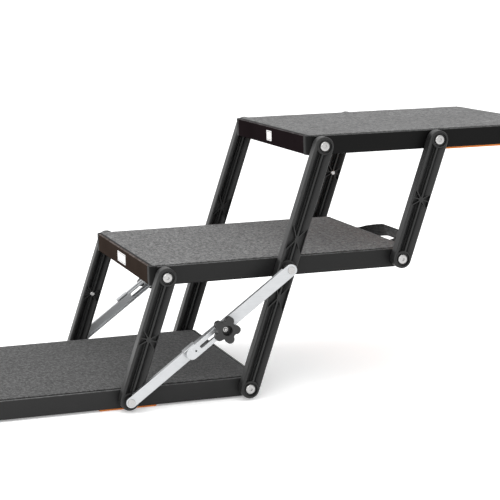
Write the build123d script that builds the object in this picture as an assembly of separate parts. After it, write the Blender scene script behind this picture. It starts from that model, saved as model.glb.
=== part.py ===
from build123d import *
import os
from math import atan2, cos, degrees, hypot, radians, sin, tan

# Folding dog stair: three carpeted steps carried on parallel links, with a knee strut on each side.
# Frame: +X is the way up the stair, +Z is up, +Y is the climber's left.
# Origin: centre of the bottom step's footprint, on the underside of its rubber pad.

# ---- step frames ----
STEP_LENGTH = 434.0
STEP_WIDTH = 385.0
RAIL_HEIGHT = 30.0
RAIL_DEPTH = 18.0
END_RAIL_DEPTH = 14.0
RAIL_WALL = 2.0
RIM_THICKNESS = 4.0
LEDGE_HEIGHT = 24.0
RIM_ROUND = 1.2
FOOT_ROUND = 1.5
CAP_LENGTH = 12.0
CAP_ROUND = 9.0
CAP_PLUG = 25.0
CAP_STUB = 4.0
PLUG_GAP = 0.2

# ---- deck, carpet, cross bars ----
DECK_THICKNESS = 4.0
DECK_GAP = 0.3
CARPET_THICKNESS = 3.5
CARPET_GAP = 0.8
CROSS_BAR_WIDTH = 24.0
CROSS_BAR_HEIGHT = 20.0
CROSS_BAR_OFFSET = 97.5

# ---- pivots and links ----
PIVOT_SPACING = 195.0
PIVOT_HEIGHT = 15.0
LINK_LENGTH = 200.0
LINK_LEAN = 70.7
LINK_GAP = 2.6
LINK_THICKNESS = 19.9
LINK_WIDTH = 30.0
LINK_EDGE_ROUND = 2.4
CENTRE_RIB = 2.8
GUTTER_FLOOR = 2.0
GUTTER_REACH = 11.0
GUTTER_DEPTH = 6.0
ARM_RIB = 1.7
STAR_RIM = 1.8
STAR_HUB = 4.2
STAR_ANGLE = 45.0
CROSS_HUB = 3.2
CROSS_ANGLE = 31.0
CROSS_OFFSET = 48.0
RING_RADIUS = 12.6
RING_WIDTH = 1.4
RING_HEIGHT = 0.8
RING_MARGIN = 0.8
RECESS_DEPTH = 3.0

# ---- pivot hardware ----
BOLT_RADIUS = 4.0
RUNNING_CLEARANCE = 0.08
HOLE_CLEARANCE = 0.15
BUSH_RADIUS = 6.0
HEAD_RADIUS = 8.2
HEAD_HEIGHT = 4.2
SOCKET_RADIUS = 2.9
SOCKET_DEPTH = 2.0
LOW_HEAD_RADIUS = 6.0
LOW_HEAD_HEIGHT = 1.4
NUT_RADIUS = 7.2
NUT_HEIGHT = 6.0
WASHER_RADIUS = 9.0
WASHER_THICKNESS = 2.5
RIVET_RADIUS = 4.0
RIVET_HEIGHT = 1.7

# ---- knee struts: distances are measured along a strut, layers outboard of the rail's face ----
LOWER_BAR_WIDTH = 16.5
LOWER_BAR_INNER = 25.0
LOWER_BAR_OUTER = 32.0
UPPER_BAR_WIDTH = 19.0
UPPER_BAR_INNER = 32.6
UPPER_BAR_OUTER = 40.6
BAR_WALL = 2.0
BAR_LIP = 1.8
KNEE_FROM_TOP = 140.0
UPPER_BAR_REACH = 212.0
LOWER_BAR_TAIL = 11.0
ADJUST_SLOT_LENGTH = 42.0
ADJUST_SLOT_RADIUS = 4.2
WINDOW_START = 156.0
WINDOW_END = 184.0
WINDOW_RADIUS = 2.6
PIN_HOLE_FROM_TOP = 195.0
PIN_HOLE_RADIUS = 1.7
STOP_PLATE_LENGTH = 22.5
STOP_PLATE_THICKNESS = 1.6
STOP_PLATE_START = 189.5
STOP_PLATE_INNER = 27.0
CLAMP_NUT_SIZE = 11.0
CLAMP_NUT_HEIGHT = 4.2

# ---- star knobs ----
KNOB_LOBES = 5
KNOB_LOBE_RADIUS = 6.8
KNOB_LOBE_CENTRE = 15.0
KNOB_CORE_RADIUS = 14.6
KNOB_VALLEY_RADIUS = 4.0
KNOB_THICKNESS = 13.0
KNOB_ROUND = 2.4
KNOB_RECESS_RADIUS = 8.2
KNOB_RECESS_DEPTH = 11.0
KNOB_NECK_RADIUS = 8.0
KNOB_NECK_HEIGHT = 10.0
KNOB_LAYER = 41.0
SCREW_END_RADIUS = 2.6
SCREW_END_DEPTH = 9.5

# ---- pads, labels, carry strap ----
GROUND_PAD_LENGTH = 92.0
GROUND_PAD_OFFSET = 3.0
VEHICLE_PAD_LENGTH = 120.0
VEHICLE_PAD_OFFSET = 82.0
PAD_THICKNESS = 3.0
PAD_WIDTH = 377.0
LABEL_THICKNESS = 0.4
LABEL_HEIGHT = 17.0
MIDDLE_LABEL_WIDTH = 56.0
TOP_LABEL_WIDTH = 26.0
STRAP_SPAN = 200.0
STRAP_SHIFT = -12.0
STRAP_BULGE = 32.0
STRAP_WIDTH = 24.0
STRAP_THICKNESS = 2.4
STRAP_TILT = 26.0
STRAP_CENTRE_HEIGHT = 15.0
STRAP_PLATE_LENGTH = 20.0
STRAP_PLATE_THICKNESS = 1.5
STRAP_SCREW_RADIUS = 3.5
STRAP_SCREW_HEIGHT = 1.6

# ---- places worked out from the dimensions above ----
STEP_RUN = PIVOT_SPACING + LINK_LENGTH * cos(radians(LINK_LEAN))
STEP_RISE = LINK_LENGTH * sin(radians(LINK_LEAN))
STEPS = {"bottom": 0, "middle": 1, "top": 2}
SIDES = ("left", "right")
LINK_OUTER = LINK_GAP + LINK_THICKNESS
RECESS_FLOOR = LINK_OUTER - RECESS_DEPTH
STRUT_LENGTH = hypot(STEP_RUN, STEP_RISE)
STRUT_LEAN = degrees(atan2(STEP_RISE, STEP_RUN))
KNEE_FROM_BOTTOM = STRUT_LENGTH - KNEE_FROM_TOP


# ---- placing helpers ----
def step_origin(step):
    """Centre of a step at the underside of its rails."""
    number = STEPS[step]
    return Vector(number * STEP_RUN, 0, PAD_THICKNESS + number * STEP_RISE)


def pivot(step, place):
    """Centre of a pivot in side view; place is -1 front, 0 middle, 1 rear."""
    base = step_origin(step)
    return Vector(base.X + place * PIVOT_SPACING, 0, base.Z + PIVOT_HEIGHT)


def on_side(shape, side):
    """Carry a shape drawn with +Y as 'outboard of the rail' to the left or right of the stair."""
    placed = Pos(0, STEP_WIDTH / 2, 0) * shape
    if side == "right":
        placed = mirror(placed, about=Plane.XZ)
    return placed


def disc(radius, start, end):
    """A cylinder on the Y axis between two outboard layers."""
    return Pos(0, start, 0) * extrude(Plane.XZ * Circle(radius), amount=-(end - start))


def block(x_range, y_range, z_range):
    """A box given by its three ranges."""
    size = [high - low for low, high in (x_range, y_range, z_range)]
    centre = [(high + low) / 2 for low, high in (x_range, y_range, z_range)]
    return Pos(*centre) * Box(*size)


def slot_plate(start, end, radius, layer_in, layer_out):
    """A round-ended plate along X between two outboard layers."""
    middle = block((start, end), (layer_in, layer_out), (-radius, radius))
    first = Pos(start, 0, 0) * disc(radius, layer_in, layer_out)
    last = Pos(end, 0, 0) * disc(radius, layer_in, layer_out)
    return middle + first + last


def leaning(shape, base, angle):
    """Turn a shape drawn along +X up by an angle and move it to its pivot."""
    return Pos(base.X, 0, base.Z) * Rot(0, -angle, 0) * shape


def save(shape, name):
    """Write one node, from one shape or a list of separate pieces."""
    pieces = shape if isinstance(shape, list) else [shape]
    solids = [solid for piece in pieces for solid in piece.solids()]
    whole = solids[0] if len(solids) == 1 else Compound(children=solids)
    export_step(whole, f"parts/{name}.step")


# ---- step frame ----
def rail_bar(length, depth):
    """A hollow rail along X, its outer face at y = 0, with a rim above a ledge for the deck."""
    outline = Polyline((0, 0), (-depth, 0), (-depth, LEDGE_HEIGHT), (-RIM_THICKNESS, LEDGE_HEIGHT),
                       (-RIM_THICKNESS, RAIL_HEIGHT), (0, RAIL_HEIGHT), close=True)
    solid = Pos(-length / 2, 0, 0) * extrude(Plane.YZ * make_face(outline), amount=length)
    lengthwise = solid.edges().filter_by(Axis.X)
    solid = fillet(lengthwise.group_by(Axis.Z)[-1], RIM_ROUND)
    foot = solid.edges().filter_by(Axis.X).group_by(Axis.Z)[0].sort_by(Axis.Y)[-1]
    solid = fillet(foot, FOOT_ROUND)
    hollow = block((-length, length), (RAIL_WALL - depth, -RAIL_WALL), (RAIL_WALL, LEDGE_HEIGHT - RAIL_WALL))
    return solid - hollow


def side_rail(step, side):
    """A side rail with its pivot holes."""
    base = step_origin(step)
    rail = rail_bar(STEP_LENGTH - 2 * CAP_LENGTH, RAIL_DEPTH)
    for place in pivots_used(step):
        hole = disc(BOLT_RADIUS + HOLE_CLEARANCE, -RAIL_DEPTH - 1, 1)
        rail -= Pos(place * PIVOT_SPACING, 0, PIVOT_HEIGHT) * hole
    return on_side(Pos(base) * rail, side)


def end_rail(step, end):
    """A front (-1) or rear (+1) rail between the corner caps."""
    base = step_origin(step)
    rail = Rot(0, 0, -90 * end) * rail_bar(STEP_WIDTH - 2 * RAIL_DEPTH, END_RAIL_DEPTH)
    return Pos(base.X + end * STEP_LENGTH / 2, 0, base.Z) * rail


def corner_cap():
    """The cap of the front left corner: a rounded post with plugs that enter both rails."""
    post = block((0, CAP_LENGTH), (-RAIL_DEPTH, 0), (0, RAIL_HEIGHT))
    corner = post.edges().filter_by(Axis.Z).sort_by(lambda e: e.center().X - e.center().Y)[0]
    post = fillet(corner, CAP_ROUND)
    post = fillet(post.faces().sort_by(Axis.Z)[-1].edges().sort_by(lambda e: e.center().X - e.center().Y)[:3],
                  RIM_ROUND)
    post -= block((RIM_THICKNESS, STEP_LENGTH), (-STEP_WIDTH, -RIM_THICKNESS), (LEDGE_HEIGHT, STEP_LENGTH))
    low = RAIL_WALL + PLUG_GAP
    high = LEDGE_HEIGHT - RAIL_WALL - PLUG_GAP
    plug_depth = END_RAIL_DEPTH - RAIL_WALL - PLUG_GAP
    plug = block((low, plug_depth), (-RAIL_DEPTH - CAP_PLUG, -RAIL_DEPTH), (low, high))
    stub = block((CAP_LENGTH, CAP_LENGTH + CAP_STUB), (PLUG_GAP + RAIL_WALL - RAIL_DEPTH, -low), (low, high))
    return post + plug + stub


def corner_caps(step):
    """The four corner caps of a step."""
    base = step_origin(step)
    front_left = Pos(-STEP_LENGTH / 2, STEP_WIDTH / 2, 0) * corner_cap()
    front = [front_left, mirror(front_left, about=Plane.XZ)]
    caps = front + [mirror(cap, about=Plane.YZ) for cap in front]
    return [Pos(base) * cap for cap in caps]


def deck(step):
    """The panel that lies on the rails' ledges."""
    base = step_origin(step)
    inset = RIM_THICKNESS + DECK_GAP
    half_x = STEP_LENGTH / 2 - inset
    half_y = STEP_WIDTH / 2 - inset
    panel = block((-half_x, half_x), (-half_y, half_y), (LEDGE_HEIGHT, LEDGE_HEIGHT + DECK_THICKNESS))
    return Pos(base) * panel


def carpet(step):
    """The felt carpet bonded to the deck."""
    base = step_origin(step)
    inset = RIM_THICKNESS + CARPET_GAP
    half_x = STEP_LENGTH / 2 - inset
    half_y = STEP_WIDTH / 2 - inset
    low = LEDGE_HEIGHT + DECK_THICKNESS
    return Pos(base) * block((-half_x, half_x), (-half_y, half_y), (low, low + CARPET_THICKNESS))


def cross_bars(step):
    """Two square tubes under the deck, between the side rails."""
    base = step_origin(step)
    half_y = STEP_WIDTH / 2 - RAIL_DEPTH
    half_x = CROSS_BAR_WIDTH / 2
    low = LEDGE_HEIGHT - CROSS_BAR_HEIGHT
    tube = block((-half_x, half_x), (-half_y, half_y), (low, LEDGE_HEIGHT))
    tube -= block((RAIL_WALL - half_x, half_x - RAIL_WALL), (-half_y, half_y),
                  (low + RAIL_WALL, LEDGE_HEIGHT - RAIL_WALL))
    return [Pos(base.X + offset, 0, base.Z) * tube for offset in (-CROSS_BAR_OFFSET, CROSS_BAR_OFFSET)]


# ---- pivot hardware ----
def pivots_used(step):
    """The places on a step's rail that carry a link."""
    return {"bottom": (0, 1), "middle": (-1, 0, 1), "top": (-1, 0)}[step]


def strut_layer(step, place):
    """The outboard layer of a strut's web at a pivot, or None where no strut is pinned."""
    return {("bottom", 0): LOWER_BAR_OUTER, ("middle", 0): UPPER_BAR_OUTER}.get((step, place))


def domed_head(base_layer):
    """A domed bolt head with a hexagon socket."""
    head = fillet(disc(HEAD_RADIUS, base_layer, base_layer + HEAD_HEIGHT).edges().sort_by(Axis.Y)[-1],
                  HEAD_HEIGHT * 0.75)
    top = base_layer + HEAD_HEIGHT
    socket = extrude(Plane.XZ * RegularPolygon(SOCKET_RADIUS, 6), amount=-SOCKET_DEPTH - 1)
    return head - Pos(0, top - SOCKET_DEPTH, 0) * socket


def pivot_bolt(layer):
    """A pivot bolt; the short one has a domed head in the link, the long one a low head on the strut."""
    tail = -RAIL_DEPTH - NUT_HEIGHT - 1
    if layer is None:
        return disc(BOLT_RADIUS, tail, RECESS_FLOOR) + domed_head(RECESS_FLOOR + HOLE_CLEARANCE) \
            + disc(BOLT_RADIUS, RECESS_FLOOR - 1, RECESS_FLOOR + 1)
    low_head = disc(LOW_HEAD_RADIUS, layer + RUNNING_CLEARANCE, layer + LOW_HEAD_HEIGHT)
    low_head = fillet(low_head.edges().sort_by(Axis.Y)[-1], LOW_HEAD_HEIGHT * 0.6)
    return disc(BOLT_RADIUS, tail, layer + LOW_HEAD_HEIGHT / 2) + low_head


def lock_nut():
    """A hexagon nut on the inner face of the rail."""
    nut = extrude(Plane.XZ * RegularPolygon(NUT_RADIUS, 6, rotation=30), amount=NUT_HEIGHT)
    return Pos(0, -RAIL_DEPTH, 0) * nut - disc(BOLT_RADIUS, -2 * RAIL_DEPTH, 0)


def rail_washer():
    """The washer that keeps a link off the rail."""
    return disc(WASHER_RADIUS, 0, WASHER_THICKNESS) - disc(BOLT_RADIUS + RUNNING_CLEARANCE, -1, LINK_GAP)


def strut_spacer(layer):
    """The tube that carries a strut's web clear of the link."""
    low = RECESS_FLOOR + HOLE_CLEARANCE
    high = layer - BAR_WALL - HOLE_CLEARANCE
    return disc(BUSH_RADIUS, low, high) - disc(BOLT_RADIUS + RUNNING_CLEARANCE, 0, layer)


def at_pivots(step, make):
    """Copies of a fitting at each pivot of a step, on both sides; make takes the strut's layer."""
    copies = []
    for place in pivots_used(step):
        centre = pivot(step, place)
        fitting = make(strut_layer(step, place))
        pieces = fitting if isinstance(fitting, list) else [fitting]
        for piece in pieces:
            copies += [on_side(Pos(centre.X, 0, centre.Z) * piece, side) for side in SIDES]
    return copies


def spacers(layer):
    """A pivot's washer, and its strut spacer where there is a strut."""
    return [rail_washer()] if layer is None else [rail_washer(), strut_spacer(layer)]


# ---- links ----
def gutters(length, face, inward):
    """Two gutters along X, steep at the centre rib and sloping up to the flanges.

    face is the layer they are cut from, inward is +1 or -1 along the outboard direction.
    """
    rib = CENTRE_RIB / 2
    over = face - inward
    deep = face + inward * GUTTER_DEPTH
    outline = Polyline((over, rib), (deep, rib), (deep, rib + GUTTER_FLOOR),
                       (face, GUTTER_REACH), (over, GUTTER_REACH), close=True)
    upper = extrude(Plane.YZ * make_face(outline), amount=length)
    return upper + mirror(upper, about=Plane.XY)


def side_pockets(angle, layers):
    """The two triangles between a pair of crossing arms, from the hub out to the link's rims."""
    half = LINK_WIDTH / 2 - STAR_RIM
    reach = half / tan(radians(angle))
    outline = Polyline((0, 0), (reach, half), (-reach, half), close=True)
    pocket = extrude(Plane.XZ * make_face(outline), amount=layers[0] - layers[1])
    pocket = Pos(0, layers[0], 0) * pocket
    return pocket + mirror(pocket, about=Plane.XY)


def arm(angle, layers):
    """One moulded rib through a hub, turned in the link's face, as long as the rims allow."""
    length = LINK_WIDTH / 2 / abs(sin(radians(angle)))
    rib = block((-length, length), layers, (-ARM_RIB / 2, ARM_RIB / 2))
    return Rot(0, angle, 0) * rib


def relief(length, bosses, hubs, face, inward):
    """Everything cut from one face of a link; hubs are rows of centre, hub radius and arm angles."""
    deep = face + inward * GUTTER_DEPTH
    layers = (min(face - inward, deep), max(face - inward, deep))
    cut = gutters(length, face, inward)
    for centre, radius, angles in hubs:
        cut += Pos(centre, 0, 0) * side_pockets(angles[0], layers)
    for centre, radius, angles in hubs:
        for angle in angles:
            cut -= Pos(centre, 0, 0) * arm(angle, layers)
        cut -= Pos(centre, 0, 0) * disc(radius, *layers)
    for centre in bosses:
        cut -= Pos(centre, 0, 0) * disc(RING_RADIUS + RING_MARGIN, *layers)
    return cut


def link(bosses, hubs):
    """A moulded link along +X from its lower pivot, with a ringed boss at each pivot."""
    last = bosses[-1]
    body = slot_plate(0, last, LINK_WIDTH / 2, LINK_GAP, LINK_OUTER)
    rims = body.faces().sort_by(Axis.Y)
    body = fillet(rims[0].edges() + rims[-1].edges(), LINK_EDGE_ROUND)
    body -= relief(last, bosses, hubs, LINK_OUTER, -1)
    body -= relief(last, bosses, hubs, LINK_GAP, 1)
    for centre in bosses:
        ring = disc(RING_RADIUS, LINK_OUTER - 1, LINK_OUTER + RING_HEIGHT)
        body += Pos(centre, 0, 0) * ring
        body -= Pos(centre, 0, 0) * disc(RING_RADIUS - RING_WIDTH, RECESS_FLOOR, LINK_OUTER + 2)
        body -= Pos(centre, 0, 0) * disc(BUSH_RADIUS + RUNNING_CLEARANCE, 0, LINK_OUTER)
    return body


def short_link():
    """The link between two neighbouring steps, with a star of ribs at its middle."""
    star = (LINK_LENGTH / 2, STAR_HUB, (STAR_ANGLE, -STAR_ANGLE, 90))
    return link((0, LINK_LENGTH), (star,))


def long_link():
    """The link that spans three steps, with crossing ribs each side of its middle pivot."""
    crosses = [(LINK_LENGTH + offset, CROSS_HUB, (CROSS_ANGLE, -CROSS_ANGLE))
               for offset in (-CROSS_OFFSET, CROSS_OFFSET)]
    return link((0, LINK_LENGTH, 2 * LINK_LENGTH), crosses)


def link_bush():
    """A plain bearing bush that turns on its pivot bolt."""
    return disc(BUSH_RADIUS, LINK_GAP + HOLE_CLEARANCE, RECESS_FLOOR) \
        - disc(BOLT_RADIUS + RUNNING_CLEARANCE, 0, LINK_OUTER)


def bushes(base, bosses):
    """The bushes of one pair of links."""
    copies = [leaning(Pos(centre, 0, 0) * link_bush(), base, LINK_LEAN) for centre in bosses]
    return [on_side(copy, side) for copy in copies for side in SIDES]


def link_rivets(base):
    """The domed rivet on the inner face of each short link, at the star's hub."""
    head = disc(RIVET_RADIUS, LINK_GAP - RIVET_HEIGHT, LINK_GAP)
    head = fillet(head.edges().sort_by(Axis.Y)[0], RIVET_HEIGHT * 0.7)
    placed = leaning(Pos(LINK_LENGTH / 2, 0, 0) * head, base, LINK_LEAN)
    return [on_side(placed, side) for side in SIDES]


# ---- knee struts ----
def channel(start, end, width, layer_in, layer_out):
    """A channel bar along X, open inboard, with round ends."""
    radius = width / 2
    bar = slot_plate(start, end, radius, layer_in, layer_out)
    bar -= slot_plate(start, end, radius - BAR_LIP, layer_in - 1, layer_out - BAR_WALL)
    return fillet(bar.faces().sort_by(Axis.Y)[-1].edges(), 0.8)


def opened_ends(bar, start, end, width, layer_in, layer_out):
    """Cut the round lips away at both ends, so that the bar can turn about a spacer."""
    for low, high in ((start - width, start + width / 2), (end - width / 2, end + width)):
        bar -= block((low, high), (layer_in - 1, layer_out - BAR_WALL), (-width, width))
    return bar


def lower_bar():
    """The strut's inner bar, along +X from the bottom step's pivot, with the adjusting slot."""
    end = KNEE_FROM_BOTTOM + LOWER_BAR_TAIL - LOWER_BAR_WIDTH / 2
    bar = channel(0, end, LOWER_BAR_WIDTH, LOWER_BAR_INNER, LOWER_BAR_OUTER)
    bar = opened_ends(bar, 0, end, LOWER_BAR_WIDTH, LOWER_BAR_INNER, LOWER_BAR_OUTER)
    bar -= disc(BOLT_RADIUS + RUNNING_CLEARANCE, 0, LOWER_BAR_OUTER + 1)
    slot_start = KNEE_FROM_BOTTOM - ADJUST_SLOT_LENGTH
    bar -= slot_plate(slot_start, KNEE_FROM_BOTTOM, ADJUST_SLOT_RADIUS, LOWER_BAR_INNER, LOWER_BAR_OUTER + 1)
    return bar


def upper_bar():
    """The strut's outer bar, along +X from the middle step's pivot, down over the inner bar."""
    end = UPPER_BAR_REACH - UPPER_BAR_WIDTH / 2
    bar = channel(0, end, UPPER_BAR_WIDTH, UPPER_BAR_INNER, UPPER_BAR_OUTER)
    bar = opened_ends(bar, 0, end, UPPER_BAR_WIDTH, UPPER_BAR_INNER, UPPER_BAR_OUTER)
    bar -= disc(BOLT_RADIUS + RUNNING_CLEARANCE, 0, UPPER_BAR_OUTER + 1)
    bar -= Pos(KNEE_FROM_TOP, 0, 0) * disc(BOLT_RADIUS + RUNNING_CLEARANCE, 0, UPPER_BAR_OUTER + 1)
    bar -= Pos(PIN_HOLE_FROM_TOP, 0, 0) * disc(PIN_HOLE_RADIUS, 0, UPPER_BAR_OUTER + 1)
    bar -= slot_plate(WINDOW_START, WINDOW_END, WINDOW_RADIUS, UPPER_BAR_INNER, UPPER_BAR_OUTER + 1)
    return bar


def stop_plate():
    """The small plate along the upper bar's edge that keeps the knee from bending back."""
    edge = UPPER_BAR_WIDTH / 2
    plate = block((STOP_PLATE_START, STOP_PLATE_START + STOP_PLATE_LENGTH),
                  (STOP_PLATE_INNER, UPPER_BAR_OUTER - 1), (-edge - STOP_PLATE_THICKNESS, -edge))
    corners = plate.edges().filter_by(Axis.Z)
    return fillet(corners, 2.5)


def clamp_nut():
    """The square nut in the inner bar, with the stub of thread that fills the slot."""
    half = CLAMP_NUT_SIZE / 2
    top = LOWER_BAR_OUTER - BAR_WALL
    nut = block((-half, half), (top - CLAMP_NUT_HEIGHT, top), (-half, half))
    nut = chamfer(nut.faces().sort_by(Axis.Y)[0].edges(), 0.8)
    nut += disc(BOLT_RADIUS, top - 1, LOWER_BAR_OUTER)
    return Pos(KNEE_FROM_BOTTOM, 0, 0) * nut


def on_lower_strut(shape, side):
    """Place a shape drawn along the lower bar."""
    return on_side(leaning(shape, pivot("bottom", 0), STRUT_LEAN), side)


def on_upper_strut(shape, side):
    """Place a shape drawn along the upper bar."""
    return on_side(leaning(shape, pivot("middle", 0), STRUT_LEAN + 180), side)


# ---- star knobs ----
def star_knob():
    """A five-lobed clamping knob with a recess for the screw's end."""
    base = KNOB_LAYER + KNOB_NECK_HEIGHT
    top = base + KNOB_THICKNESS
    outline = Circle(KNOB_CORE_RADIUS)
    for lobe in range(KNOB_LOBES):
        outline += Rot(0, 0, 360 * lobe / KNOB_LOBES) * Pos(KNOB_LOBE_CENTRE, 0) * Circle(KNOB_LOBE_RADIUS)
    outline = fillet(outline.vertices(), KNOB_VALLEY_RADIUS)
    body = Pos(0, base, 0) * extrude(Plane.XZ * outline, amount=-KNOB_THICKNESS)
    faces = body.faces().sort_by(Axis.Y)
    body = fillet(faces[-1].edges() + faces[0].edges(), KNOB_ROUND)
    body += disc(KNOB_NECK_RADIUS, KNOB_LAYER, base + 1)
    body -= disc(KNOB_RECESS_RADIUS, top - KNOB_RECESS_DEPTH, top + 1)
    body -= disc(BOLT_RADIUS, 0, top)
    return Pos(KNEE_FROM_TOP, 0, 0) * body


def knob_screw():
    """The knob's screw, from the recess to the face of the inner bar."""
    top = KNOB_LAYER + KNOB_NECK_HEIGHT + KNOB_THICKNESS - SCREW_END_DEPTH
    screw = disc(BOLT_RADIUS, LOWER_BAR_OUTER + 0.4, top - 2)
    tip = disc(SCREW_END_RADIUS, top - 3, top)
    tip = fillet(tip.edges().sort_by(Axis.Y)[-1], 1.0)
    return Pos(KNEE_FROM_TOP, 0, 0) * (screw + tip)


# ---- pads, labels, carry strap ----
def rubber_pad(step, length, offset):
    """A rubber strip under a step's rails."""
    base = step_origin(step)
    half_x = length / 2
    half_y = PAD_WIDTH / 2
    pad = block((-half_x, half_x), (-half_y, half_y), (-PAD_THICKNESS, 0))
    pad = fillet(pad.edges().filter_by(Axis.Z), 4)
    return Pos(base.X + offset, 0, base.Z) * pad


def label(step, width):
    """A plain plate on the front rail."""
    base = step_origin(step)
    front = -STEP_LENGTH / 2
    middle = RAIL_HEIGHT / 2
    plate = block((front - LABEL_THICKNESS, front), (-width / 2, width / 2),
                  (middle - LABEL_HEIGHT / 2, middle + LABEL_HEIGHT / 2))
    return Pos(base) * fillet(plate.edges().filter_by(Axis.X), 1.5)


def strap_place():
    """The middle of the strap's fixing line on the rear face of the middle step."""
    base = step_origin("middle")
    return Pos(base.X + STEP_LENGTH / 2, STRAP_SHIFT, base.Z + STRAP_CENTRE_HEIGHT)


def strap_ends():
    """The Y positions of the strap's two fixings."""
    offset = STRAP_SPAN / 2 - STRAP_PLATE_LENGTH / 2
    return (-offset, offset)


def strap_screw(radius, height):
    """A round along +X from the rail's rear face."""
    return extrude(Plane.YZ * Circle(radius), amount=height)


def carry_strap():
    """A webbing handle that bows out and up behind the middle step's rear rail, with a tab at each end."""
    half = STRAP_SPAN / 2 - STRAP_PLATE_LENGTH
    far = STRAP_BULGE + STRAP_THICKNESS
    half_z = STRAP_WIDTH / 2
    inner = ThreePointArc((0, -half), (STRAP_BULGE, 0), (0, half))
    outer = ThreePointArc((STRAP_THICKNESS, half), (far, 0), (STRAP_THICKNESS, -half))
    ends = Line((0, half), (STRAP_THICKNESS, half)) + Line((STRAP_THICKNESS, -half), (0, -half))
    bow = extrude(make_face(inner + outer + ends), amount=half_z, both=True)
    standoff = half_z * sin(radians(STRAP_TILT)) + LABEL_THICKNESS
    strap = Pos(standoff, 0, 0) * Rot(0, -STRAP_TILT, 0) * bow
    half_y = STRAP_PLATE_LENGTH / 2
    for y in strap_ends():
        inward = -1 if y > 0 else 1
        reach = (y - inward * half_y, y + inward * (half_y + 2 * STRAP_THICKNESS))
        strap += block((0, STRAP_THICKNESS), (min(reach), max(reach)), (-half_z, half_z))
        strap -= Pos(0, y, 0) * strap_screw(STRAP_SCREW_RADIUS + HOLE_CLEARANCE, STRAP_THICKNESS)
    return strap_place() * strap


def strap_brackets():
    """The two steel brackets that hold the ends of the strap, each with its screw."""
    half_y = STRAP_PLATE_LENGTH / 2 - 1
    half_z = STRAP_WIDTH / 2
    outer = STRAP_THICKNESS + STRAP_PLATE_THICKNESS
    plate = block((STRAP_THICKNESS, outer), (-half_y, half_y), (-half_z, half_z))
    screw = strap_screw(STRAP_SCREW_RADIUS, outer + STRAP_SCREW_HEIGHT)
    return [strap_place() * Pos(0, y, 0) * (plate + screw) for y in strap_ends()]


# ---- the nodes ----
def build_step(step):
    """Every piece of one step's frame."""
    for side in SIDES:
        save(side_rail(step, side), f"{step}_{side}_rail")
    save(end_rail(step, -1), f"{step}_front_rail")
    save(end_rail(step, 1), f"{step}_rear_rail")
    save(corner_caps(step), f"{step}_corner_caps")
    save(deck(step), f"{step}_deck")
    save(carpet(step), f"{step}_carpet")
    save(cross_bars(step), f"{step}_cross_bars")
    save(at_pivots(step, pivot_bolt), f"{step}_pivot_bolts")
    save(at_pivots(step, lambda layer: lock_nut()), f"{step}_pivot_nuts")
    save(at_pivots(step, spacers), f"{step}_pivot_spacers")


def build_links():
    """The three pairs of links with their bushes and rivets."""
    bases = {"lower": pivot("bottom", 0), "upper": pivot("middle", 1), "long": pivot("bottom", 1)}
    for name, base in bases.items():
        drawn = long_link() if name == "long" else short_link()
        for side in SIDES:
            save(on_side(leaning(drawn, base, LINK_LEAN), side), f"{name}_link_{side}")
        bosses = (0, LINK_LENGTH, 2 * LINK_LENGTH) if name == "long" else (0, LINK_LENGTH)
        save(bushes(base, bosses), f"{name}_link_bushes")
    for name in ("lower", "upper"):
        save(link_rivets(bases[name]), f"{name}_link_rivets")


def build_struts():
    """The knee struts and their knobs."""
    for side in SIDES:
        save(on_lower_strut(lower_bar(), side), f"strut_lower_bar_{side}")
        save(on_upper_strut(upper_bar(), side), f"strut_upper_bar_{side}")
        save(on_upper_strut(star_knob(), side), f"knob_{side}")
        save(on_upper_strut(knob_screw(), side), f"knob_screw_{side}")
    save([on_lower_strut(clamp_nut(), side) for side in SIDES], "strut_clamp_nuts")
    save([on_upper_strut(stop_plate(), side) for side in SIDES], "strut_stop_plates")


os.makedirs("parts", exist_ok=True)
for step_name in STEPS:
    build_step(step_name)
build_links()
build_struts()
save(rubber_pad("bottom", GROUND_PAD_LENGTH, GROUND_PAD_OFFSET), "ground_pad")
save(rubber_pad("top", VEHICLE_PAD_LENGTH, VEHICLE_PAD_OFFSET), "vehicle_pad")
save(label("middle", MIDDLE_LABEL_WIDTH), "middle_label")
save(label("top", TOP_LABEL_WIDTH), "top_label")
save(carry_strap(), "carry_strap")
save(strap_brackets(), "strap_brackets")
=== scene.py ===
import math

import bpy
from mathutils import Matrix, Vector, noise


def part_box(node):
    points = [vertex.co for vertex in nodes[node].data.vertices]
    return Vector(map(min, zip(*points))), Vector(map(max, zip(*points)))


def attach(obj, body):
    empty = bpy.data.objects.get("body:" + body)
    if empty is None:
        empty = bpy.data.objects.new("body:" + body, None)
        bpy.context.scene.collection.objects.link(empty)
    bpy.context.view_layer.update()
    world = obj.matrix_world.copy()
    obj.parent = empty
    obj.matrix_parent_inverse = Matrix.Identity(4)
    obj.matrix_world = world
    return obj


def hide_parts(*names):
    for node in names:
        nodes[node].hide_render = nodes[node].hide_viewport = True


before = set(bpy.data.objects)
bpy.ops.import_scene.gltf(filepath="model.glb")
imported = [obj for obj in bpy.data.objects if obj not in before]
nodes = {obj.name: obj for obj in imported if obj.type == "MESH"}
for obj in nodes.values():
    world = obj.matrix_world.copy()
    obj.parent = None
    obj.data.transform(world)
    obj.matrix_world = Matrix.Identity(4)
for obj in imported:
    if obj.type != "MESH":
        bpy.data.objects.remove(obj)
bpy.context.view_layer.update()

STEPS = ("bottom", "middle", "top")
MM = 0.001

# ---- camera: metres and degrees, in the CAD frame ----
CAMERA_PLACE = Vector((-0.57506, -2.71070, 0.67419))
CAMERA_YAW = 17.247
CAMERA_PITCH = -9.417
CAMERA_ROLL = -1.446
CAMERA_LENS = 122.45
CAMERA_SENSOR = 36.0

# ---- studio ----
WORLD_STRENGTH = 1.2
FLOOR_REACH = 14.0
FLOOR_DROP = 0.4 * MM
FLOOR_GLOW = 0.3

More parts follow.
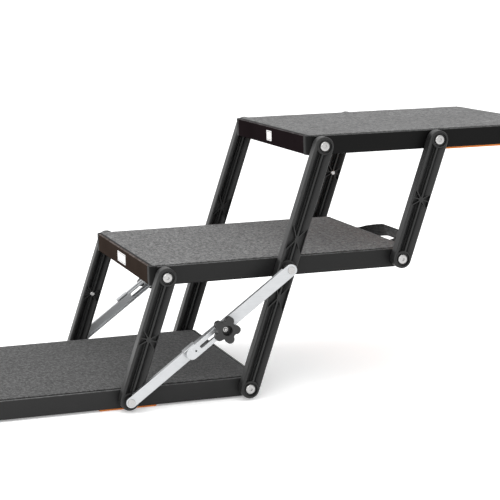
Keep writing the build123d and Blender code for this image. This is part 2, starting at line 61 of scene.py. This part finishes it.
# ---- colours: linear greys, or linear red, green, blue and alpha ----
SIDE_GREYS = {"bottom": 0.012, "middle": 0.007, "top": 0.003}
SIDE_GLOSS = {"bottom": 0.2, "middle": 0.2, "top": 0.1}
FRONT_COLORS = {"bottom": (0.030, 0.022, 0.018, 1.0), "middle": (0.030, 0.022, 0.018, 1.0),
                "top": (0.010, 0.0072, 0.0080, 1.0)}
FRONT_GLOSS = 0.0
CAP_GREY = 0.004
LINK_GREY = 0.009
DECK_GREY = 0.02
KNOB_GREY = 0.016
NYLON_GREY = 0.04
STRUT_GREY = 0.50
BARE_GREY = 0.6
ZINC_GREY = 0.40
BRACKET_GREY = 0.02
WEBBING_GREY = 0.006
PAD_ORANGE = (0.66, 0.19, 0.022, 1.0)

# ---- powder coat: the band below a rail's top edge that is painted pale as a highlight; the third is a rim height above it all, which gives no band ----
RIM_HIGHLIGHT_START = 1.6 * MM
RIM_HIGHLIGHT_FULL = 0.2 * MM
NO_RIM_HIGHLIGHT = 10.0

# ---- drawn metal: the scale of its grain along each axis, and the struts' lean in degrees ----
DRAWN_X = (0.04, 1.0, 1.0)
DRAWN_Y = (1.0, 0.04, 1.0)
UNDRAWN = (1.0, 1.0, 1.0)
STRUT_LEAN = 35.86

# ---- rubber pads and labels: a label's frame line lies between two distances from its edge ----
PAD_RIB_PITCH = 4 * MM
LABEL_LINE_INNER = 2.6 * MM
LABEL_LINE_OUTER = 1.7 * MM
LABEL_LINE_SOFT = 0.3 * MM

# ---- felt carpet: light and dark grey of each, turn and scale of each fibre lay, then the shape ----
# the bottom carpet's darker greys are painted shade, for the shade that the steps above cast on it
FELT_TONES = {"bottom": (0.082, 0.022), "middle": (0.165, 0.045), "top": (0.150, 0.048)}
FIBRE_LAYS = ((0.3, 520), (1.1, 560), (2.0, 600), (2.7, 540))
FELT_CELL = 2.6 * MM
FELT_SWELL = 0.22 * MM
FELT_SWELL_SCALE = 28.0
FELT_GRAIN = 0.16 * MM
FELT_GRAIN_SCALE = 260.0
FELT_GRAIN_SEED = 3.0
FELT_STEP_SEED = 5.0
FELT_EDGE = 1.6 * MM
FELT_EDGE_REACH = 1.6 * FELT_CELL
FELT_FRAY = 0.35 * MM
FELT_FRAY_SCALE = 300.0
# painted shade: the felt is nearly black from these depths below its top, on its rounded edges and its sides
FELT_EDGE_SHADE_START = 0.7 * MM
FELT_EDGE_SHADE_FULL = 1.3 * MM

# ---- carry strap: tilt in degrees, pick rate in radians a metre, selvedge as a share of half the width ----
STRAP_STATIONS = 240
STRAP_COLUMNS = 36
STRAP_RIBS = 8
STRAP_RIB = 0.28 * MM
STRAP_PICK = 0.10 * MM
STRAP_PICK_RATE = 2400
STRAP_SELVEDGE = 0.06
STRAP_THICKNESS = 2.4 * MM
STRAP_BULGE = 32.0 * MM
STRAP_TILT = 26.0
STRAP_TAB = 20.0 * MM
STRAP_TWIST_LENGTH = 26.0 * MM
STRAP_FAR_RISE = 70.0 * MM
STRAP_NEAR_RISE = 20.0 * MM
STRAP_CREST = 1.4


# ---------------------------------------------------------------- shader helpers
class Shader:
    """A principled material with short calls for the nodes that it is made of."""

    def __init__(self, name, **sockets):
        """Keywords are the names of shader sockets, with underscores for spaces."""
        self.material = bpy.data.materials.new(name)
        self.material.use_nodes = True
        self.tree = self.material.node_tree
        self.bsdf = self.tree.nodes["Principled BSDF"]
        for key, value in sockets.items():
            socket = key.replace("_", " ").title().replace("Ior", "IOR")
            self.bsdf.inputs[socket].default_value = value
        self.coords = self.node("ShaderNodeTexCoord").outputs["Object"]

    def node(self, kind, **inputs):
        made = self.tree.nodes.new(kind)
        for key, value in inputs.items():
            self.feed(made.inputs[key.replace("_", " ")], value)
        return made

    def feed(self, socket, value):
        if isinstance(value, bpy.types.NodeSocket):
            self.tree.links.new(value, socket)
        else:
            socket.default_value = value

    def stretched(self, scale, rotation=(0, 0, 0)):
        mapping = self.node("ShaderNodeMapping", Vector=self.coords, Scale=scale, Rotation=rotation)
        return mapping.outputs["Vector"]

    def noise(self, scale, detail, roughness=0.55, vector=None, distortion=0.0):
        made = self.node("ShaderNodeTexNoise", Vector=vector or self.coords, Scale=scale, Detail=detail,
                         Roughness=roughness, Distortion=distortion)
        return made.outputs["Fac"]

    def cells(self, scale):
        return self.node("ShaderNodeTexVoronoi", Vector=self.coords, Scale=scale).outputs["Distance"]

    def remap(self, value, low, high, out_low=0.0, out_high=1.0):
        made = self.node("ShaderNodeMapRange")
        made.interpolation_type = "SMOOTHSTEP"
        self.feed(made.inputs["Value"], value)
        for key, number in (("From Min", low), ("From Max", high), ("To Min", out_low), ("To Max", out_high)):
            made.inputs[key].default_value = number
        return made.outputs["Result"]

    def maths(self, operation, first, second=0.0):
        made = self.node("ShaderNodeMath")
        made.operation = operation
        self.feed(made.inputs[0], first)
        self.feed(made.inputs[1], second)
        return made.outputs["Value"]

    def plus(self, first, second):
        return self.maths("ADD", first, second)

    def minus(self, first, second):
        return self.maths("SUBTRACT", first, second)

    def times(self, first, second):
        return self.maths("MULTIPLY", first, second)

    def mix(self, factor, first, second):
        made = self.node("ShaderNodeMix")
        made.data_type = "RGBA"
        self.feed(made.inputs["Factor"], factor)
        self.feed(made.inputs["A"], first)
        self.feed(made.inputs["B"], second)
        return made.outputs["Result"]

    def axis(self, name):
        return self.node("ShaderNodeSeparateXYZ", Vector=self.coords).outputs[name]

    def bump(self, height, strength, distance, after=None):
        made = self.node("ShaderNodeBump", Height=height, Strength=strength, Distance=distance)
        if after is not None:
            self.feed(made.inputs["Normal"], after)
        return made.outputs["Normal"]

    def finish(self, color, roughness, normal=None):
        self.feed(self.bsdf.inputs["Base Color"], color)
        self.feed(self.bsdf.inputs["Roughness"], roughness)
        if normal is not None:
            self.feed(self.bsdf.inputs["Normal"], normal)
        return self.material


def grey(value, warm=0.0):
    """A linear grey, a little warm or cool."""
    return (value * (1 + warm), value, value * (1 - warm), 1.0)


def tint(color, gain, lift=0.0):
    """A colour made lighter or darker, and no brighter than white."""
    return tuple(min(1.0, channel * gain + lift) for channel in color[:3]) + (1.0,)


# ---------------------------------------------------------------- materials
def powder_coat(name, color, rim_height, gloss=0.2):
    """Satin powder coat: orange peel, faint scuffs, and a painted highlight: a patchy pale band just below
    the top rim.
    """
    s = Shader(name, specular_ior_level=gloss)
    peel = s.noise(scale=900, detail=2)
    cloud = s.noise(scale=14, detail=3)
    scratches = s.noise(scale=55, detail=6, roughness=0.7, vector=s.stretched((0.5, 0.5, 5.0)))
    scuffs = s.remap(scratches, 0.66, 0.74)
    # painted highlight: a patchy pale band just below the rail's top edge stands in for the highlight on the
    # rounded rim
    rim = s.remap(s.axis("Z"), rim_height - RIM_HIGHLIGHT_START, rim_height - RIM_HIGHLIGHT_FULL)
    highlight_patches = s.remap(s.noise(scale=120, detail=4), 0.35, 0.7, 0.35, 1.0)
    light = tint(color, 2.2, 0.02)
    shade = s.mix(s.remap(cloud, 0.35, 0.65), tint(color, 0.86), color)
    shade = s.mix(s.times(s.times(rim, highlight_patches), 0.9), shade, tint(light, 1.0, 0.055))
    shade = s.mix(s.times(scuffs, 0.16), shade, light)
    rough = s.plus(s.remap(cloud, 0.3, 0.7, 0.36, 0.46), s.times(scuffs, 0.1))
    return s.finish(shade, rough, s.bump(peel, strength=0.12, distance=0.3 * MM))


def moulded_plastic(name, color, roughness, grain=0.16, gloss=0.32):
    """Glass filled plastic: fine spark grain, flow marks and dull handling marks."""
    s = Shader(name, specular_ior_level=gloss)
    spark = s.noise(scale=1500, detail=3, roughness=0.7)
    flow = s.noise(scale=26, detail=4, roughness=0.6, vector=s.stretched((1.0, 1.0, 0.35)))
    marks = s.remap(s.noise(scale=75, detail=6, roughness=0.75), 0.62, 0.72)
    shade = s.mix(s.remap(flow, 0.35, 0.7), color, tint(color, 1.25))
    shade = s.mix(s.times(marks, 0.25), shade, tint(color, 1.9, 0.004))
    rough = s.remap(flow, 0.3, 0.7, roughness - 0.05, roughness + 0.06)
    rough = s.plus(rough, s.times(marks, 0.08))
    return s.finish(shade, rough, s.bump(spark, strength=grain, distance=0.2 * MM))


def felt_fibres(s):
    """Thin strands laid in four directions, the highest at each place on top."""
    fibre = None
    for turn, scale in FIBRE_LAYS:
        lay = s.stretched((1.0, 0.16, 0.6), (0, 0, turn))
        strands = s.noise(scale, detail=3, roughness=0.6, vector=lay, distortion=0.6)
        fibre = strands if fibre is None else s.maths("MAXIMUM", fibre, strands)
    return fibre


def felt_color(s, light, dark, fibre, speck, tuft):
    """Specks of light and dark grey, bright fibres, and painted shade in the gaps between the tufts."""
    bright = tint(light, 1.5)
    deep = tint(dark, 0.45)
    mottle = s.noise(scale=210, detail=4, roughness=0.7, vector=s.stretched((1.0, 0.55, 1.0)))
    grit = s.noise(scale=460, detail=2, roughness=0.5)
    cloud = s.noise(scale=9, detail=3, roughness=0.5)
    blend = s.mix(s.remap(speck, 0.36, 0.66), dark, light)
    blend = s.mix(s.times(s.remap(fibre, 0.62, 0.78), 0.6), blend, bright)
    # painted shade: darker in the gaps between the tufts
    blend = s.mix(s.times(s.remap(tuft, 0.55, 0.72), 0.35), blend, deep)
    blend = s.mix(s.remap(mottle, 0.5, 0.36, 0.0, 0.6), blend, bright)
    blend = s.mix(s.remap(mottle, 0.5, 0.64, 0.0, 0.75), blend, deep)
    blend = s.mix(s.times(s.remap(grit, 0.56, 0.66), 0.55), blend, deep)
    blend = s.mix(s.times(s.remap(grit, 0.44, 0.36), 0.4), blend, bright)
    return s.mix(s.remap(cloud, 0.3, 0.7, 0.0, 0.22), blend, dark)


def needle_felt(name, light, dark, top):
    """Heather felt with a matted nap, and painted shade, nearly black, on its edges and sides below the top.
    """
    s = Shader(name, specular_ior_level=0.08, sheen_weight=0.1, sheen_roughness=0.5)
    fibre = felt_fibres(s)
    speck = s.noise(scale=330, detail=5, roughness=0.75)
    tuft = s.noise(scale=140, detail=4, roughness=0.65)
    blend = felt_color(s, light, dark, fibre, speck, tuft)
    # painted shade: nearly black on the edges and sides, in place of the shadow in the gap to the rail
    edge_shade = s.remap(s.axis("Z"), top - FELT_EDGE_SHADE_START, top - FELT_EDGE_SHADE_FULL)
    blend = s.mix(edge_shade, blend, grey(0.012))
    rough = s.remap(speck, 0.3, 0.7, 0.86, 1.0)
    normal = s.bump(fibre, strength=0.55, distance=0.8 * MM)
    normal = s.bump(tuft, strength=0.4, distance=1.2 * MM, after=normal)
    return s.finish(blend, rough, normal)


def drawn_metal(name, color, roughness, direction, angle=0.0):
    """Bright metal with fine drawn lines along one direction, faint smears and a few nicks."""
    s = Shader(name, metallic=1.0)
    lines = s.noise(scale=900, detail=4, roughness=0.7, vector=s.stretched(direction, (0, angle, 0)))
    smear = s.noise(scale=32, detail=4, roughness=0.6)
    nicks = s.remap(s.noise(scale=210, detail=5, roughness=0.8), 0.7, 0.76)
    shade = s.mix(s.remap(lines, 0.35, 0.65, 0.0, 0.35), color, tint(color, 0.82))
    shade = s.mix(s.times(nicks, 0.4), shade, tint(color, 0.55))
    rough = s.remap(smear, 0.3, 0.7, roughness - 0.06, roughness + 0.08)
    return s.finish(shade, rough, s.bump(lines, strength=0.1, distance=0.2 * MM))


def rubber(name, color):
    """Matt rubber with ribs from front to back, painted shade in the valleys between them, a fine leathery
    grain and dusty scuffs.
    """
    s = Shader(name, specular_ior_level=0.35)
    grain = s.cells(620)
    dust = s.noise(scale=60, detail=5, roughness=0.7)
    wave = s.maths("SINE", s.times(s.axis("Y"), 2 * math.pi / PAD_RIB_PITCH))
    ribs = s.remap(wave, -0.4, 0.4)
    shade = s.mix(s.remap(dust, 0.5, 0.75, 0.0, 0.35), color, tint(color, 0.7, 0.12))
    # painted shade: the valleys between the ribs are darker
    shade = s.mix(s.times(s.minus(1.0, ribs), 0.3), shade, tint(color, 0.5))
    rough = s.remap(dust, 0.3, 0.7, 0.62, 0.8)
    leather = s.bump(grain, strength=0.25, distance=0.3 * MM)
    return s.finish(shade, rough, s.bump(ribs, strength=0.6, distance=0.8 * MM, after=leather))


def woven_webbing(name, color):
    """Nylon webbing: crossed threads, with painted highlights that make the high ones lighter."""
    s = Shader(name, specular_ior_level=0.2, sheen_weight=0.08, sheen_roughness=0.4)
    threads = s.noise(scale=1300, detail=2, roughness=0.6, vector=s.stretched((1.0, 1.0, 0.25)))
    picks = s.noise(scale=700, detail=2, roughness=0.6, vector=s.stretched((0.25, 1.0, 1.0)))
    weave = s.times(threads, picks)
    fluff = s.noise(scale=90, detail=5, roughness=0.7)
    # painted highlight: the high threads of the weave are lighter
    shade = s.mix(s.remap(weave, 0.18, 0.36), color, tint(color, 2.6, 0.01))
    rough = s.remap(fluff, 0.3, 0.7, 0.55, 0.75)
    return s.finish(shade, rough, s.bump(weave, strength=0.5, distance=0.4 * MM))


def blank_label(name, node):
    """White vinyl with a thin grey frame line and nothing printed in it."""
    low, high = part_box(node)
    centre = (low + high) / 2
    half = (high - low) / 2
    s = Shader(name, specular_ior_level=0.45)
    across = s.maths("ABSOLUTE", s.minus(s.axis("Y"), centre.y))
    upward = s.maths("ABSOLUTE", s.minus(s.axis("Z"), centre.z))
    edge = s.maths("MAXIMUM", s.minus(across, half.y), s.minus(upward, half.z))
    inner = s.remap(edge, -LABEL_LINE_INNER, LABEL_LINE_SOFT - LABEL_LINE_INNER)
    outer = s.remap(edge, -LABEL_LINE_OUTER, LABEL_LINE_SOFT - LABEL_LINE_OUTER)
    stain = s.noise(scale=45, detail=5, roughness=0.7)
    paper = s.mix(s.remap(stain, 0.45, 0.75, 0.0, 0.3), grey(0.72, 0.01), grey(0.5, 0.03))
    shade = s.mix(s.minus(inner, outer), paper, grey(0.12))
    rough = s.remap(stain, 0.3, 0.7, 0.35, 0.5)
    return s.finish(shade, rough, s.bump(s.noise(scale=700, detail=2), strength=0.06, distance=0.2 * MM))


def paint(node, material):
    """Give a CAD node its material in every slot."""
    mesh = nodes[node].data
    if not mesh.materials:
        mesh.materials.append(material)
    for index in range(len(mesh.materials)):
        mesh.materials[index] = material


# ---------------------------------------------------------------- mesh helpers
def mesh_piece(name, vertices, faces, material, smooth=True):
    """A new mesh object in the CAD frame."""
    mesh = bpy.data.meshes.new(name)
    mesh.from_pydata([tuple(v) for v in vertices], [], faces)
    mesh.materials.append(material)
    for polygon in mesh.polygons:
        polygon.use_smooth = smooth
    piece = bpy.data.objects.new(name, mesh)
    bpy.context.scene.collection.objects.link(piece)
    return piece


def grid_faces(columns, rows):
    """Quads over a grid of points that runs row by row."""
    width = columns + 1
    corners = [row * width + column for row in range(rows) for column in range(columns)]
    return [(corner, corner + 1, corner + width + 1, corner + width) for corner in corners]


def grid_rim(columns, rows):
    """The points of a grid's outline, once round."""
    width = columns + 1
    rim = list(range(columns))
    rim += [row * width + columns for row in range(rows)]
    rim += [rows * width + column for column in range(columns, 0, -1)]
    rim += [row * width for row in range(rows, 0, -1)]
    return rim


def tube_faces(stations, around):
    """Quads between closed rings of points, with a cap on each end."""
    faces = []
    for station in range(stations):
        for place in range(around):
            corner = station * around + place
            beside = station * around + (place + 1) % around
            faces.append((corner, beside, beside + around, corner + around))
    faces.append(tuple(range(around - 1, -1, -1)))
    faces.append(tuple(stations * around + place for place in range(around)))
    return faces


def ripple(x, y, z, scale):
    """Smooth noise between -1 and 1."""
    return noise.noise(Vector((x, y, z)) * scale)


def smooth_step(value):
    """0 to 1 with flat ends."""
    value = min(1.0, max(0.0, value))
    return value * value * (3 - 2 * value)


# ---------------------------------------------------------------- felt carpets
def felt_height(x, y, seed):
    """How far the nap stands above its mean at a point."""
    swell = ripple(x, y, seed, FELT_SWELL_SCALE) * FELT_SWELL
    grain = ripple(x, y, seed + FELT_GRAIN_SEED, FELT_GRAIN_SCALE) * FELT_GRAIN
    return swell + grain


def felt_point(low, high, x, y, seed):
    """A point of the nap, which falls away near the edges and is frayed at the outline."""
    crown = high.z - FELT_SWELL - FELT_GRAIN
    inset = min(x - low.x, high.x - x, y - low.y, high.y - y)
    fall = max(0.0, 1.0 - inset / FELT_EDGE_REACH) ** 2 * FELT_EDGE
    z = crown + felt_height(x, y, seed) - fall
    if inset < FELT_CELL / 2:
        fray = FELT_FRAY * (1 + ripple(x, y, seed, FELT_FRAY_SCALE))
        x += fray if x < (low.x + high.x) / 2 else -fray
        y += fray if y < (low.y + high.y) / 2 else -fray
    return (x, y, z)


def build_carpet(step, material):
    """A cut rectangle of felt: a napped top, edges that round over, and a flat back on the deck."""
    low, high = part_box(f"{step}_carpet")
    seed = FELT_STEP_SEED * STEPS.index(step)
    columns = round((high.x - low.x) / FELT_CELL)
    rows = round((high.y - low.y) / FELT_CELL)
    vertices = []
    for row in range(rows + 1):
        for column in range(columns + 1):
            x = low.x + (high.x - low.x) * column / columns
            y = low.y + (high.y - low.y) * row / rows
            vertices.append(felt_point(low, high, x, y, seed))
    faces = grid_faces(columns, rows)
    rim = grid_rim(columns, rows)
    count = len(vertices)
    vertices += [(vertices[place][0], vertices[place][1], low.z) for place in rim]
    for place in range(len(rim)):
        after = (place + 1) % len(rim)
        faces.append((rim[place], count + place, count + after, rim[after]))
    faces.append(tuple(count + place for place in reversed(range(len(rim)))))
    piece = mesh_piece(f"{step}_felt", vertices, faces, material)
    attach(piece, f"{step}_step")
    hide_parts(f"{step}_carpet")


def build_carpets():
    """The three carpets. The bottom one is the darkest, with painted shade in its greys."""
    for step in STEPS:
        light, dark = FELT_TONES[step]
        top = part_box(f"{step}_carpet")[1].z
        build_carpet(step, needle_felt(f"{step}_heather_felt", grey(light), grey(dark), top))


# ---------------------------------------------------------------- carry strap
def strap_rise(distance, reach):
    """How much of the bow is reached at a distance from a tab."""
    return 1.0 - max(0.0, 1.0 - max(0.0, distance) / reach) ** STRAP_CREST


def strap_section(across, layer, half_width, along):
    """Depth of the webbing's surface at a place across it: ribs, picks and a thinner selvedge."""
    share = abs(across) / half_width
    past = max(0.0, (share - (1 - STRAP_SELVEDGE)) / STRAP_SELVEDGE)
    thinning = math.sqrt(max(0.0, 1.0 - past ** 2))
    rib = math.cos(across / half_width * STRAP_RIBS * math.pi) * STRAP_RIB
    pick = math.cos(along * STRAP_PICK_RATE) * STRAP_PICK
    return layer * thinning * (STRAP_THICKNESS / 2 - STRAP_RIB + rib + pick * (1 - share))


def strap_centres(rail_face, middle_y, middle_z, half_length, half_width):
    """The centre and the tilt at each station, from the near bracket to the far one."""
    half_chord = half_length - STRAP_TAB
    standoff = half_width * math.sin(math.radians(STRAP_TILT))
    centres = []
    for station in range(STRAP_STATIONS + 1):
        y = -half_length + 2 * half_length * station / STRAP_STATIONS
        far_rise = strap_rise(half_chord - y, STRAP_FAR_RISE)
        near_rise = strap_rise(half_chord + y, STRAP_NEAR_RISE)
        bow = STRAP_BULGE * far_rise * near_rise
        twist = smooth_step((half_chord - abs(y)) / STRAP_TWIST_LENGTH)
        tilt = math.radians(STRAP_TILT) * twist
        out = STRAP_THICKNESS / 2 + standoff * twist + bow * math.cos(tilt)
        centre = Vector((rail_face + out, middle_y + y, middle_z + bow * math.sin(tilt)))
        centres.append((centre, tilt))
    return centres


def strap_points(centres, half_length, half_width):
    """The webbing's outline at each station: across its outer face, then back along its inner one."""
    ring = [(column, 1) for column in range(STRAP_COLUMNS + 1)]
    ring += [(column, -1) for column in range(STRAP_COLUMNS, -1, -1)]
    points = []
    for station, (centre, tilt) in enumerate(centres):
        before = centres[max(0, station - 1)][0]
        after = centres[min(STRAP_STATIONS, station + 1)][0]
        along = (after - before).normalized()
        upward = Vector((-math.sin(tilt), 0, math.cos(tilt)))
        outward = along.cross(upward).normalized()
        travel = station * 2 * half_length / STRAP_STATIONS
        for column, layer in ring:
            across = half_width * (2 * column / STRAP_COLUMNS - 1)
            depth = strap_section(across, layer, half_width, travel)
            points.append(centre + upward * across + outward * depth)
    return points


def build_strap(material):
    """The webbing handle: flat at its two brackets, then it twists upward and bows out behind the rail."""
    low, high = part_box("carry_strap")
    bracket_low, bracket_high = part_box("strap_brackets")
    rail_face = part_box("middle_rear_rail")[1].x
    middle_y = (low.y + high.y) / 2
    middle_z = (bracket_low.z + bracket_high.z) / 2
    half_length = (high.y - low.y) / 2
    half_width = (bracket_high.z - bracket_low.z) / 2
    centres = strap_centres(rail_face, middle_y, middle_z, half_length, half_width)
    vertices = strap_points(centres, half_length, half_width)
    faces = tube_faces(STRAP_STATIONS, 2 * (STRAP_COLUMNS + 1))
    piece = mesh_piece("carry_webbing", vertices, faces, material)
    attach(piece, "middle_step")
    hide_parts("carry_strap")


# ---------------------------------------------------------------- stage, light, camera
def build_stage():
    """A plain pale floor that gives off a little light, so that the studio stays white."""
    s = Shader("studio_floor", specular_ior_level=0.1, emission_color=grey(1.0),
               emission_strength=FLOOR_GLOW)
    tone = s.noise(scale=3, detail=2)
    shade = s.mix(s.remap(tone, 0.3, 0.7), grey(0.9), grey(0.92))
    material = s.finish(shade, s.remap(tone, 0.3, 0.7, 0.85, 0.95))
    corners = [(-FLOOR_REACH, -FLOOR_REACH, 0), (FLOOR_REACH, -FLOOR_REACH, 0),
               (FLOOR_REACH, FLOOR_REACH, 0), (-FLOOR_REACH, FLOOR_REACH, 0)]
    floor = mesh_piece("studio_floor", corners, [(0, 1, 2, 3)], material, smooth=False)
    floor.location.z = -FLOOR_DROP


def soft_light(name, place, aim, size, power):
    """A white area light of a width and height in metres and a power in watts, aimed at a point."""
    data = bpy.data.lights.new(name, "AREA")
    data.shape = "RECTANGLE"
    data.size, data.size_y = size
    data.energy = power
    light = bpy.data.objects.new(name, data)
    light.location = place
    light.rotation_euler = (Vector(aim) - Vector(place)).to_track_quat("-Z", "Y").to_euler()
    bpy.context.scene.collection.objects.link(light)


def build_light():
    """A bright even studio: a white world, a soft overhead, and two side panels."""
    world = bpy.data.worlds.new("studio_world")
    bpy.context.scene.world = world
    world.use_nodes = True
    background = world.node_tree.nodes["Background"]
    background.inputs["Color"].default_value = grey(1.0)
    background.inputs["Strength"].default_value = WORLD_STRENGTH
    soft_light("overhead", place=(0.2, -0.2, 3.0), aim=(0.3, 0, 0.2), size=(2.6, 2.2), power=30)
    soft_light("front_panel", place=(-0.9, -2.8, 1.7), aim=(0.3, 0, 0.2), size=(1.6, 1.4), power=22)
    soft_light("left_panel", place=(-2.6, 0.3, 1.2), aim=(0.2, 0, 0.2), size=(1.2, 1.4), power=14)


def build_camera():
    """The camera, from its place, yaw, pitch and roll."""
    yaw, pitch, roll = (math.radians(angle) for angle in (CAMERA_YAW, CAMERA_PITCH, CAMERA_ROLL))
    forward = Vector((math.sin(yaw) * math.cos(pitch), math.cos(yaw) * math.cos(pitch), math.sin(pitch)))
    level = forward.cross(Vector((0, 0, 1))).normalized()
    upright = level.cross(forward)
    right = level * math.cos(roll) + upright * math.sin(roll)
    up = upright * math.cos(roll) - level * math.sin(roll)
    turn = Matrix((right, up, -forward)).transposed().to_4x4()
    data = bpy.data.cameras.new("camera")
    data.lens = CAMERA_LENS
    data.sensor_width = CAMERA_SENSOR
    camera = bpy.data.objects.new("camera", data)
    camera.matrix_world = Matrix.Translation(CAMERA_PLACE) @ turn
    bpy.context.scene.collection.objects.link(camera)
    bpy.context.scene.camera = camera
    bpy.context.scene.view_settings.view_transform = "Standard"


# ---------------------------------------------------------------- the CAD nodes that stay
def paint_steps(zinc, nylon):
    """Rails, caps, decks, cross bars and pivots. The coats get darker from the bottom step up."""
    cap = moulded_plastic("cap_plastic", grey(CAP_GREY), roughness=0.5, gloss=0.08)
    panel = moulded_plastic("deck_plastic", grey(DECK_GREY), roughness=0.55)
    bare = drawn_metal("bare_aluminium", grey(BARE_GREY), 0.45, DRAWN_Y)
    for step in STEPS:
        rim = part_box(f"{step}_left_rail")[1].z
        side = powder_coat(f"{step}_side_coat", grey(SIDE_GREYS[step]), rim, SIDE_GLOSS[step])
        front = powder_coat(f"{step}_front_coat", FRONT_COLORS[step], rim, FRONT_GLOSS)
        for place in ("left", "right", "rear"):
            paint(f"{step}_{place}_rail", side)
        paint(f"{step}_front_rail", front)
        paint(f"{step}_corner_caps", cap)
        paint(f"{step}_deck", panel)
        paint(f"{step}_cross_bars", bare)
        paint(f"{step}_pivot_bolts", zinc)
        paint(f"{step}_pivot_nuts", zinc)
        paint(f"{step}_pivot_spacers", nylon)


def paint_links(zinc, nylon):
    """The three pairs of links, their bushes and their rivets."""
    plastic = moulded_plastic("link_plastic", grey(LINK_GREY), roughness=0.42)
    for pair in ("lower", "upper", "long"):
        paint(f"{pair}_link_left", plastic)
        paint(f"{pair}_link_right", plastic)
        paint(f"{pair}_link_bushes", nylon)
    paint("lower_link_rivets", zinc)
    paint("upper_link_rivets", zinc)


def paint_struts(zinc):
    """The two struts, with their knobs, screws, plates and clamp nuts."""
    bar = drawn_metal("strut_aluminium", grey(STRUT_GREY, -0.02), 0.45, DRAWN_X, math.radians(STRUT_LEAN))
    knob = moulded_plastic("knob_plastic", grey(KNOB_GREY), roughness=0.4, grain=0.1)
    for side in ("left", "right"):
        paint(f"strut_lower_bar_{side}", bar)
        paint(f"strut_upper_bar_{side}", bar)
        paint(f"knob_{side}", knob)
        paint(f"knob_screw_{side}", zinc)
    paint("strut_stop_plates", bar)
    paint("strut_clamp_nuts", zinc)


def paint_trim():
    """The strap's brackets, the rubber pads and the labels."""
    orange = rubber("orange_rubber", PAD_ORANGE)
    paint("strap_brackets", powder_coat("bracket_paint", grey(BRACKET_GREY), NO_RIM_HIGHLIGHT))
    paint("ground_pad", orange)
    paint("vehicle_pad", orange)
    paint("middle_label", blank_label("middle_label_vinyl", "middle_label"))
    paint("top_label", blank_label("top_label_vinyl", "top_label"))


def paint_frame():
    """Materials for every CAD node that stays."""
    zinc = drawn_metal("zinc_steel", grey(ZINC_GREY, 0.01), 0.24, UNDRAWN)
    nylon = moulded_plastic("spacer_nylon", grey(NYLON_GREY), roughness=0.5)
    paint_steps(zinc, nylon)
    paint_links(zinc, nylon)
    paint_struts(zinc)
    paint_trim()


build_camera()
build_light()
build_stage()
paint_frame()
build_carpets()
build_strap(woven_webbing("webbing", grey(WEBBING_GREY)))
